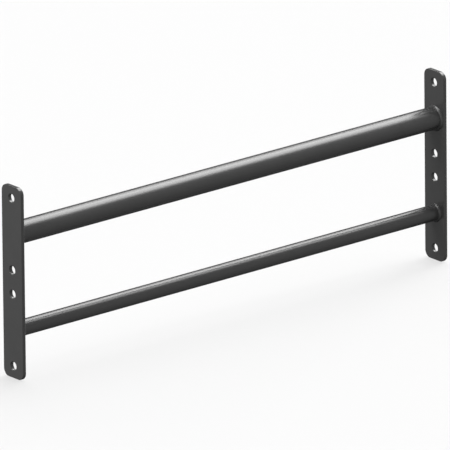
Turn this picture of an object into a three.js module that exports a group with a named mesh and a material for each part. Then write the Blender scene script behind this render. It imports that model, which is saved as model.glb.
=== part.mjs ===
// Double pull-up bar for a training rig: a thick and a thin steel tube, one above the other,
// fillet-welded between two flat end plates that bolt to the rig's uprights.
// Millimetres. +X runs along the tubes, +Y to the back and +Z up. The origin is on the floor
// that the plates stand on, midway between them.
import * as THREE from 'three';

// Whole piece
const SPAN = 1100;                 // outer face of one end plate to outer face of the other

// Bolt holes, in one line down the middle of each plate. Each tube sits midway between two.
const BOLT_HOLE_DIAMETER = 18;
const PAIR_PITCH = 150;            // between the two holes above and below a tube
const MIDDLE_PITCH = 50;           // between the upper tube's pair and the lower tube's pair
const HOLE_TO_PLATE_END = 25;

// End plates, cut from flat bar
const PLATE_WIDTH = 60;
const PLATE_THICKNESS = 8;
const PLATE_CORNER_RADIUS = 15;
const PLATE_EDGE_BREAK = 0.5;      // deburring chamfer along every edge and hole mouth

// Tubes
const THICK_TUBE_DIAMETER = 47;
const THICK_TUBE_WALL = 3.2;
const THIN_TUBE_DIAMETER = 33;
const THIN_TUBE_WALL = 3.2;

// Fillet welds, one ring round each tube end
const THICK_WELD_LEG = 4;
const THIN_WELD_LEG = 3.5;
const WELD_CROWN_SHARE = 0.14;     // how far the face swells past a flat one, as a share of the leg
const WELD_TUBE_CLEARANCE = 0.3;   // radial gap between a ring and the tube that it goes round

// Facets
const ROUND_FACETS = 64;           // round a tube or a weld ring
const HOLE_FACETS = 40;
const CORNER_FACETS = 12;          // round each corner of a plate
const WELD_FACE_FACETS = 6;

const INNER_FACE_X = SPAN / 2 - PLATE_THICKNESS;
const TUBE_RISE = (PAIR_PITCH + MIDDLE_PITCH) / 2;
const PLATE_HALF_HEIGHT = TUBE_RISE + PAIR_PITCH / 2 + HOLE_TO_PLATE_END;

const QUARTER_TURN = Math.PI / 2;
const X = new THREE.Vector3(1, 0, 0);
const Y = new THREE.Vector3(0, 1, 0);
const Z = new THREE.Vector3(0, 0, 1);
const EXTRUDE_ALONG_X = new THREE.Matrix4().makeBasis(Y, Z, X);
const TURN_ABOUT_X = new THREE.Matrix4().makeBasis(Z, X, Y);

// One coat of charcoal powder covers plates, tubes and welds alike.
function powderCoat() {
  return new THREE.MeshStandardMaterial({ color: 0x46484a, roughness: 0.42, metalness: 0.15 });
}

// A piece is placed by its height above the plates' middle.
function namedMesh(name, geometry, x, rise) {
  const mesh = new THREE.Mesh(geometry, powderCoat());
  mesh.name = name;
  mesh.position.set(x, 0, PLATE_HALF_HEIGHT + rise);
  return mesh;
}

// A plate's outline, upright and centred on its middle, with a quarter-round at each corner.
function plateOutline() {
  const r = PLATE_CORNER_RADIUS;
  const corners = [[1, 1], [-1, 1], [-1, -1], [1, -1]];
  return corners.flatMap(([across, up], i) => {
    const y = across * (PLATE_WIDTH / 2 - r);
    const z = up * (PLATE_HALF_HEIGHT - r);
    const arc = new THREE.EllipseCurve(y, z, r, r, i * QUARTER_TURN, (i + 1) * QUARTER_TURN);
    return arc.getPoints(CORNER_FACETS);
  });
}

function boltHole(rise) {
  const radius = BOLT_HOLE_DIAMETER / 2;
  const circle = new THREE.EllipseCurve(0, rise, radius, radius).getPoints(HOLE_FACETS);
  circle.pop();
  return new THREE.Path(circle);
}

// The plate's outer face is at x = 0 for the left plate, and its inner face for the right one.
function endPlateGeometry() {
  const shape = new THREE.Shape(plateOutline());
  for (const tubeRise of [TUBE_RISE, -TUBE_RISE]) {
    shape.holes.push(boltHole(tubeRise + PAIR_PITCH / 2));
    shape.holes.push(boltHole(tubeRise - PAIR_PITCH / 2));
  }
  const geometry = new THREE.ExtrudeGeometry(shape, {
    depth: PLATE_THICKNESS - 2 * PLATE_EDGE_BREAK,
    bevelThickness: PLATE_EDGE_BREAK,
    bevelSize: PLATE_EDGE_BREAK,
    bevelOffset: -PLATE_EDGE_BREAK,
    bevelSegments: 1,
  });
  geometry.translate(0, 0, PLATE_EDGE_BREAK);
  return geometry.applyMatrix4(EXTRUDE_ALONG_X);
}

// A tube, centred on the origin and square-cut at both ends, where it butts on the plates.
function tubeGeometry(diameter, wall) {
  const outer = diameter / 2;
  const inner = outer - wall;
  const profile = [
    new THREE.Vector2(inner, -INNER_FACE_X),
    new THREE.Vector2(outer, -INNER_FACE_X),
    new THREE.Vector2(outer, INNER_FACE_X),
    new THREE.Vector2(inner, INNER_FACE_X),
    new THREE.Vector2(inner, -INNER_FACE_X),
  ];
  return new THREE.LatheGeometry(profile, ROUND_FACETS).applyMatrix4(TURN_ABOUT_X);
}

// A fillet weld in the corner between a plate and a tube: a leg's length up the plate at x = 0,
// and as much along the tube.
function weldGeometry(tubeDiameter, leg) {
  const tubeRadius = tubeDiameter / 2;
  const bore = tubeRadius + WELD_TUBE_CLEARANCE;
  const plateToe = new THREE.Vector2(tubeRadius + leg, 0);
  const tubeToe = new THREE.Vector2(bore, leg);
  const outward = new THREE.Vector2(1, 1).normalize();
  const profile = [new THREE.Vector2(bore, 0)];
  for (let i = 0; i <= WELD_FACE_FACETS; i++) {
    const along = i / WELD_FACE_FACETS;
    const swell = WELD_CROWN_SHARE * leg * Math.sin(Math.PI * along);
    profile.push(plateToe.clone().lerp(tubeToe, along).addScaledVector(outward, swell));
  }
  profile.push(profile[0].clone());
  return new THREE.LatheGeometry(profile, ROUND_FACETS).applyMatrix4(TURN_ABOUT_X);
}

function makePullUpBar() {
  const bar = new THREE.Group();
  bar.name = 'double_pull_up_bar';

  const plate = endPlateGeometry();
  bar.add(namedMesh('left_end_plate', plate, -SPAN / 2, 0));
  bar.add(namedMesh('right_end_plate', plate, INNER_FACE_X, 0));

  const tubes = [
    ['upper', THICK_TUBE_DIAMETER, THICK_TUBE_WALL, THICK_WELD_LEG, TUBE_RISE],
    ['lower', THIN_TUBE_DIAMETER, THIN_TUBE_WALL, THIN_WELD_LEG, -TUBE_RISE],
  ];
  for (const [place, diameter, wall, leg, rise] of tubes) {
    bar.add(namedMesh(`${place}_tube`, tubeGeometry(diameter, wall), 0, rise));
    const weld = weldGeometry(diameter, leg);
    bar.add(namedMesh(`${place}_left_weld`, weld, -INNER_FACE_X, rise));
    const rightWeld = namedMesh(`${place}_right_weld`, weld, INNER_FACE_X, rise);
    rightWeld.rotation.z = Math.PI;
    bar.add(rightWeld);
  }
  return bar;
}

export default makePullUpBar();
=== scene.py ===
from math import atan2, cos, hypot, pi, radians, sin

import bmesh
import bpy
from mathutils import Matrix, Vector


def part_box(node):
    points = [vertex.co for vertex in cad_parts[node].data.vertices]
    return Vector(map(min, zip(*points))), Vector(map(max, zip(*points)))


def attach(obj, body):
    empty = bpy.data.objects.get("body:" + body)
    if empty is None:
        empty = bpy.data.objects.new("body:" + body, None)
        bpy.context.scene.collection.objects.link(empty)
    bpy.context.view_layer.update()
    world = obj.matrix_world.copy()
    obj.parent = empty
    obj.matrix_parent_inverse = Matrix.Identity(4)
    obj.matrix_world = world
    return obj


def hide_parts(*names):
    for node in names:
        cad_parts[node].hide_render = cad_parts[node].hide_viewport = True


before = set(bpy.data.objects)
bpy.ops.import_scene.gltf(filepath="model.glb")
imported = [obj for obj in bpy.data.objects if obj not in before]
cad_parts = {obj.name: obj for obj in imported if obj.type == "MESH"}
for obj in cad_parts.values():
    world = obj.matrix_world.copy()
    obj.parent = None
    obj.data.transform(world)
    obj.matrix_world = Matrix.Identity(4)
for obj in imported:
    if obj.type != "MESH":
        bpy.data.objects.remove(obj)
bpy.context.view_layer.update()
scene = bpy.context.scene


# The view. A long lens far off in front of the left end and a little above, as in the photograph,
# where the bar climbs to the right and its two plates look almost the same size. A longer lens
# would put the camera of the other views too far off for what it can see.
CAMERA_AIM = Vector((-0.0041, 0.0, 0.1963))
CAMERA_DISTANCE = 39.748
CAMERA_AZIMUTH = radians(-39.653)
CAMERA_ELEVATION = radians(18.81)
CAMERA_ROLL = radians(-0.546)
LENS_MM = 1600
SENSOR_MM = 36
FARTHEST_SEEN = 200

camera = bpy.data.objects.new("camera", bpy.data.cameras.new("camera"))
scene.collection.objects.link(camera)
scene.camera = camera
camera.data.lens = LENS_MM
camera.data.sensor_width = SENSOR_MM
camera.data.clip_end = FARTHEST_SEEN
facing = Matrix.Rotation(CAMERA_AZIMUTH, 4, "Z") @ Matrix.Rotation(pi / 2 - CAMERA_ELEVATION, 4, "X")
camera.matrix_world = (
    Matrix.Translation(CAMERA_AIM)
    @ facing
    @ Matrix.Translation((0, 0, CAMERA_DISTANCE))
    @ Matrix.Rotation(CAMERA_ROLL, 4, "Z")
)


# The end plates. Each is a length of 60 x 8 mm flat bar, sawn and drilled, with its corners
# ground round and every edge broken, so that the coat holds on it.
PLATE_CORNER_RADIUS = 0.015
PLATE_EDGE_RADIUS = 0.0008
BOLT_HOLE_RADIUS = 0.009
BOLT_HOLE_HEIGHTS = (0.025, 0.175, 0.225, 0.375)
CORNER_SEGMENTS = 16
HOLE_SEGMENTS = 72
EDGE_SEGMENTS = 4
CREASE_ANGLE = radians(40)


def finish_mesh(bm, name):
    """Turns every face outwards, creases the true edges and makes the object."""
    bmesh.ops.remove_doubles(bm, verts=bm.verts, dist=1e-6)
    bmesh.ops.recalc_face_normals(bm, faces=bm.faces)
    for face in bm.faces:
        face.smooth = True
    for edge in bm.edges:
        edge.smooth = edge.calc_face_angle(0) < CREASE_ANGLE
    mesh = bpy.data.meshes.new(name)
    bm.to_mesh(mesh)
    bm.free()
    piece = bpy.data.objects.new(name, mesh)
    scene.collection.objects.link(piece)
    return piece


def drill_circle(bm, x, z):
    """The outline of a bolt hole, lying in the plate's face."""
    place = Matrix.Translation((x, 0, z)) @ Matrix.Rotation(pi / 2, 4, "Y")
    bmesh.ops.create_circle(bm, segments=HOLE_SEGMENTS, radius=BOLT_HOLE_RADIUS, matrix=place)


def make_plate(node):
    low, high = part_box(node)
    bm = bmesh.new()
    corners = [bm.verts.new((low.x, y, z))
               for y, z in ((low.y, low.z), (high.y, low.z), (high.y, high.z), (low.y, high.z))]
    bm.faces.new(corners)
    bmesh.ops.bevel(bm, geom=corners, affect="VERTICES", offset=PLATE_CORNER_RADIUS,
                    segments=CORNER_SEGMENTS, profile=0.5, material=-1)
    bmesh.ops.delete(bm, geom=list(bm.faces), context="FACES_ONLY")
    for height in BOLT_HOLE_HEIGHTS:
        drill_circle(bm, low.x, height)
    bmesh.ops.triangle_fill(bm, edges=list(bm.edges), use_beauty=True)
    sheet = bmesh.ops.extrude_face_region(bm, geom=list(bm.faces))
    moved = [v for v in sheet["geom"] if isinstance(v, bmesh.types.BMVert)]
    bmesh.ops.translate(bm, verts=moved, vec=(high.x - low.x, 0, 0))
    bmesh.ops.recalc_face_normals(bm, faces=bm.faces)
    rim = [e for e in bm.edges if e.calc_face_angle(0) > CREASE_ANGLE]
    bmesh.ops.bevel(bm, geom=rim, affect="EDGES", offset=PLATE_EDGE_RADIUS,
                    segments=EDGE_SEGMENTS, profile=0.5, material=-1)
    plate = finish_mesh(bm, node + "_coated")
    plate.modifiers.new("flat faces stay flat", "WEIGHTED_NORMAL").keep_sharp = True
    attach(plate, "root")
    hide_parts(node)
    return plate


plates = [make_plate(node) for node in ("left_end_plate", "right_end_plate")]


# The grip bars. Two round steel tubes, square-cut and butted against the plates: a thick one
# above and a thin one below, for two grips.
TUBE_WALL = 0.0032
TUBE_SEGMENTS = 160


def make_tube(node):
    low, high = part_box(node)
    outer = (high.z - low.z) / 2
    middle = (low + high) / 2
    place = Matrix.Translation((low.x, middle.y, middle.z)) @ Matrix.Rotation(pi / 2, 4, "Y")
    bm = bmesh.new()
    for radius in (outer, outer - TUBE_WALL):
        bmesh.ops.create_circle(bm, segments=TUBE_SEGMENTS, radius=radius, matrix=place)
    bmesh.ops.bridge_loops(bm, edges=list(bm.edges))
    sheet = bmesh.ops.extrude_face_region(bm, geom=list(bm.faces))
    moved = [v for v in sheet["geom"] if isinstance(v, bmesh.types.BMVert)]
    bmesh.ops.translate(bm, verts=moved, vec=(high.x - low.x, 0, 0))
    tube = finish_mesh(bm, node + "_coated")
    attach(tube, "root")
    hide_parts(node)
    return tube


tubes = [make_tube(node) for node in ("upper_tube", "lower_tube")]


# The welds. A fillet bead runs all round each tube where it meets a plate, laid in short
# overlapping puddles, so its full face is softly rippled and its toes wander a little.
WELD_SINK = 0.0003
WELD_FACE_POINTS = 14
WELD_CROWN_SHARE = 0.24
RIPPLE_PITCH = 0.0024
RIPPLE_DEPTH_SHARE = 0.012
TOE_WANDER_SHARE = 0.02
RIPPLE_STEPS = 8
RIPPLE_BOW = 2.2
TOE_WANDERS = (
    # share, waves round the tube, start in radians
    (0.6, 7, 1.3),
    (0.4, 16, 0.4),
)


def make_weld(node, tube_node, side):
    """side is +1 at the left plate, where the bead spreads along +X, and -1 at the right one."""
    low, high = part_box(node)
    tube_low, tube_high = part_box(tube_node)
    tube_radius = (tube_high.z - tube_low.z) / 2
    leg = high.x - low.x
    plate_x = low.x if side > 0 else high.x
    middle = (low + high) / 2
    axis = Vector((plate_x, middle.y, middle.z))

    def on_profile(angle, reach):
        """A point of the bead's section, seen from its root, turned from plate to tube."""
        along = reach * sin(angle)
        out = reach * cos(angle)
        return axis + Vector((side * along, 0, tube_radius + out))

    bm = bmesh.new()
    face_points = []
    for i in range(WELD_FACE_POINTS + 1):
        angle = pi / 2 * i / WELD_FACE_POINTS
        flat = leg / (cos(angle) + sin(angle))
        crown = WELD_CROWN_SHARE * leg * sin(2 * angle)
        face_points.append(bm.verts.new(on_profile(angle, flat + crown)))
    sunk = axis + Vector((-side * WELD_SINK, 0, tube_radius - WELD_SINK))
    plate_toe = face_points[0].co + Vector((-side * WELD_SINK, 0, 0))
    tube_toe = face_points[-1].co + Vector((0, 0, -WELD_SINK))
    loop = [bm.verts.new(plate_toe), *face_points, bm.verts.new(tube_toe), bm.verts.new(sunk)]
    for a, b in zip(loop, loop[1:] + loop[:1]):
        bm.edges.new((a, b))
    ripples = round(2 * pi * (tube_radius + leg / 2) / RIPPLE_PITCH)
    bmesh.ops.spin(bm, geom=list(bm.verts) + list(bm.edges), cent=axis, axis=(1, 0, 0),
                   angle=2 * pi, steps=ripples * RIPPLE_STEPS, use_merge=True)
    for vert in bm.verts:
        offset = vert.co - axis
        out = hypot(offset.y, offset.z) - tube_radius
        along = side * offset.x
        if out < -WELD_SINK / 2 or along < -WELD_SINK / 2:
            continue
        across = atan2(along, out) / (pi / 2)
        turn = atan2(offset.z, offset.y)
        lag = RIPPLE_BOW * (across - across * across)
        wave = ripples * turn / (2 * pi) + lag
        ripple = sin(pi * across) * (0.5 + 0.5 * cos(2 * pi * wave))
        wander = sum(share * sin(waves * turn + start) for share, waves, start in TOE_WANDERS)
        grow = 1 - RIPPLE_DEPTH_SHARE * ripple - TOE_WANDER_SHARE * wander
        radial = Vector((0, offset.y, offset.z)).normalized()
        vert.co = axis + radial * (tube_radius + out * grow) + Vector((side * along * grow, 0, 0))
    weld = finish_mesh(bm, node + "_coated")
    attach(weld, "root")
    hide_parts(node)
    return weld


welds = [
    make_weld(f"{place}_{end}_weld", f"{place}_tube", side)
    for place in ("upper", "lower")
    for end, side in (("left", 1), ("right", -1))
]


# The finish. One charcoal polyester powder coat, baked over everything after welding. It flows
# out to a satin skin with a faint orange peel and tiny changes of tone.
COAT_DARK = "2c2c2c"
COAT_LIGHT = "323232"
COAT_ROUGHNESS = 0.27
COAT_IOR = 1.5
MOTTLE_SIZE = 0.03
PEEL_SIZE = 0.003
PEEL_HEIGHT = 0.00002


def srgb(hex_colour):
    """An sRGB hex value as the linear colour that a socket takes."""
    channels = [int(hex_colour[i:i + 2], 16) / 255 for i in (0, 2, 4)]
    linear = [c / 12.92 if c <= 0.04045 else ((c + 0.055) / 1.055) ** 2.4 for c in channels]
    return (*linear, 1)


def add_node(tree, kind, settings=None, **links):
    """Adds a node. A link is a value or a (node, socket) pair, for a socket's name or for in0, in1."""
    node = tree.nodes.new(kind)
    for key, value in (settings or {}).items():
        setattr(node, key, value)
    for key, value in links.items():
        numbered = key.startswith("in")
        socket = node.inputs[int(key[2:]) if numbered else key.replace("_", " ")]
        if isinstance(value, tuple) and isinstance(value[0], bpy.types.Node):
            tree.links.new(value[0].outputs[value[1]], socket)
        else:
            socket.default_value = value
    return node


def satin_powder_coat():
    material = bpy.data.materials.new("satin_powder_coat")
    material.use_nodes = True
    tree = material.node_tree
    tree.nodes.clear()
    place = add_node(tree, "ShaderNodeTexCoord")
    mottle = add_node(tree, "ShaderNodeTexNoise", Vector=(place, "Object"),
                      Scale=1 / MOTTLE_SIZE, Detail=3.0, Roughness=0.55)
    tone = add_node(tree, "ShaderNodeMix", {"data_type": "RGBA"}, Factor=(mottle, "Fac"))
    tone.inputs[6].default_value = srgb(COAT_DARK)
    tone.inputs[7].default_value = srgb(COAT_LIGHT)
    peel = add_node(tree, "ShaderNodeTexNoise", Vector=(place, "Object"),
                    Scale=1 / PEEL_SIZE, Detail=2.0, Roughness=0.5)
    bump = add_node(tree, "ShaderNodeBump", Height=(peel, "Fac"), Strength=1.0, Distance=PEEL_HEIGHT)
    coat = add_node(tree, "ShaderNodeBsdfPrincipled", Base_Color=(tone, 2), Normal=(bump, "Normal"),
                    Roughness=COAT_ROUGHNESS, IOR=COAT_IOR)
    add_node(tree, "ShaderNodeOutputMaterial", Surface=(coat, "BSDF"))
    return material


coat = satin_powder_coat()
for piece in plates + tubes + welds:
    piece.data.materials.append(coat)


# The floor. White acrylic lit from beneath, as for pictures on plain white, so that a shadow
# barely shows on it. Its own colour is dark, so that the softboxes hardly mark it. Only the camera
# sees it: the light that comes up from below is the room's.
FLOOR_HALF_WIDTH = 50
FLOOR_COLOUR = "101010"
FLOOR_GLOW = 0.73

bm = bmesh.new()
bmesh.ops.create_grid(bm, x_segments=1, y_segments=1, size=FLOOR_HALF_WIDTH)
floor = finish_mesh(bm, "floor")
acrylic = bpy.data.materials.new("backlit_white_acrylic")
acrylic.use_nodes = True
tree = acrylic.node_tree
tree.nodes.clear()
matt = add_node(tree, "ShaderNodeBsdfDiffuse", Color=srgb(FLOOR_COLOUR))
glow = add_node(tree, "ShaderNodeEmission", Color=(1, 1, 1, 1), Strength=FLOOR_GLOW)
both = add_node(tree, "ShaderNodeAddShader", in0=(matt, "BSDF"), in1=(glow, "Emission"))
add_node(tree, "ShaderNodeOutputMaterial", Surface=(both, "Shader"))
floor.data.materials.append(acrylic)
floor.visible_glossy = False
floor.visible_diffuse = False
floor.visible_shadow = False


# The light. A wide softbox with a brighter middle hangs behind the bar and to its right: its
# reflection is the pale band along each tube. Two smaller ones to the left light the right plate,
# glint on its welds and drop each tube's shadow down across the plate.
SOFTBOXES = (
    # name, x, y, z, width, depth, brightness against the white floor
    ("key_softbox", 2.05, 0.85, 2.3, 3.5, 3.5, 3.07),
    ("key_middle", 2.0, 0.33, 2.2, 3.4, 1.56, 5.13),
    ("key_rear", 2.05, 1.55, 2.4, 3.6, 2.05, 0.92),
    ("left_softbox", -2.5, 0.575, 2.3, 1.8, 1.65, 19.95),
    ("high_left_softbox", -0.35, 0.715, 3.67, 0.8, 0.8, 14.4),
)

for name, x, y, z, width, depth, brightness in SOFTBOXES:
    softbox = bpy.data.lights.new(name, "AREA")
    softbox.shape = "RECTANGLE"
    softbox.size = width
    softbox.size_y = depth
    softbox.energy = brightness * pi * width * depth
    lamp = bpy.data.objects.new(name, softbox)
    lamp.location = (x, y, z)
    lamp.visible_camera = False
    scene.collection.objects.link(lamp)

# Three broad lights from the right are kept for the floor alone. They draw the soft shadow on
# the left of each foot and the darker one right under it.
FLOOR_LIGHTS = (
    # name, strength, spread, elevation and azimuth in degrees
    ("floor_low_light", 277, 40, 8, 12),
    ("floor_rear_light", 104, 60, 20, 60),
    ("floor_high_light", 71, 60, 65, 12),
)

floor_only = bpy.data.collections.new("floor only")
floor_only.objects.link(floor)
for name, strength, spread, elevation, azimuth in FLOOR_LIGHTS:
    sun = bpy.data.lights.new(name, "SUN")
    sun.energy = strength
    sun.angle = radians(spread)
    lamp = bpy.data.objects.new(name, sun)
    lamp.rotation_euler = (0, radians(90 - elevation), radians(azimuth))
    lamp.light_linking.receiver_collection = floor_only
    scene.collection.objects.link(lamp)


# The room. Windows at the left front keep the tubes' fronts readable, a pale wall to the right
# shows in every grazing reflection, and the floor in front throws a little light up. The camera
# itself sees plain white paper past the floor's end.
ROOM_WINDOWS = 0.85
WINDOWS_SIDE = (-0.77, -0.64, 0.0)
WINDOWS_FADE_SIDEWAYS = (-0.9, 1.0)
WINDOWS_FADE_UPWARDS = (-1.0, 0.1)
ROOM_GLOWS = (
    # way to the middle of the glow, brightness there
    ((1.0, 0.0, 0.0), 4.6),
    ((0.0, -0.707, -0.707), 0.6),
    ((-0.606, 0.727, -0.323), 0.22),
)
GLOW_SHARPNESS = 8.0
BACKDROP_GLOW = 0.98

room = bpy.data.worlds.new("room")
scene.world = room
room.use_nodes = True
tree = room.node_tree
tree.nodes.clear()
way = add_node(tree, "ShaderNodeTexCoord")
side = add_node(tree, "ShaderNodeVectorMath", {"operation": "DOT_PRODUCT"},
                in0=(way, "Generated"), in1=WINDOWS_SIDE)
sideways = add_node(tree, "ShaderNodeMapRange", in0=(side, "Value"),
                    in1=WINDOWS_FADE_SIDEWAYS[0], in2=WINDOWS_FADE_SIDEWAYS[1], in3=0.0, in4=1.0)
split = add_node(tree, "ShaderNodeSeparateXYZ", Vector=(way, "Generated"))
upwards = add_node(tree, "ShaderNodeMapRange", {"interpolation_type": "SMOOTHSTEP"},
                   in0=(split, "Z"), in1=WINDOWS_FADE_UPWARDS[0], in2=WINDOWS_FADE_UPWARDS[1],
                   in3=0.0, in4=1.0)
windows = add_node(tree, "ShaderNodeMath", {"operation": "MULTIPLY"},
                   in0=(sideways, "Result"), in1=(upwards, "Result"))
light = add_node(tree, "ShaderNodeMath", {"operation": "MULTIPLY"},
                 in0=(windows, "Value"), in1=ROOM_WINDOWS)
for middle, brightness in ROOM_GLOWS:
    near = add_node(tree, "ShaderNodeVectorMath", {"operation": "DOT_PRODUCT"},
                    in0=(way, "Generated"), in1=middle)
    ahead = add_node(tree, "ShaderNodeMath", {"operation": "MAXIMUM"}, in0=(near, "Value"), in1=0.0)
    glow = add_node(tree, "ShaderNodeMath", {"operation": "POWER"},
                    in0=(ahead, "Value"), in1=GLOW_SHARPNESS)
    light = add_node(tree, "ShaderNodeMath", {"operation": "MULTIPLY_ADD"},
                     in0=(glow, "Value"), in1=brightness, in2=(light, "Value"))
walls = add_node(tree, "ShaderNodeBackground", Color=(1, 1, 1, 1), Strength=(light, "Value"))
backdrop = add_node(tree, "ShaderNodeBackground", Color=(1, 1, 1, 1), Strength=BACKDROP_GLOW)
ray = add_node(tree, "ShaderNodeLightPath")
seen = add_node(tree, "ShaderNodeMixShader", in0=(ray, "Is Camera Ray"),
                in1=(walls, "Background"), in2=(backdrop, "Background"))
add_node(tree, "ShaderNodeOutputWorld", Surface=(seen, "Shader"))

scene.view_settings.view_transform = "Standard"
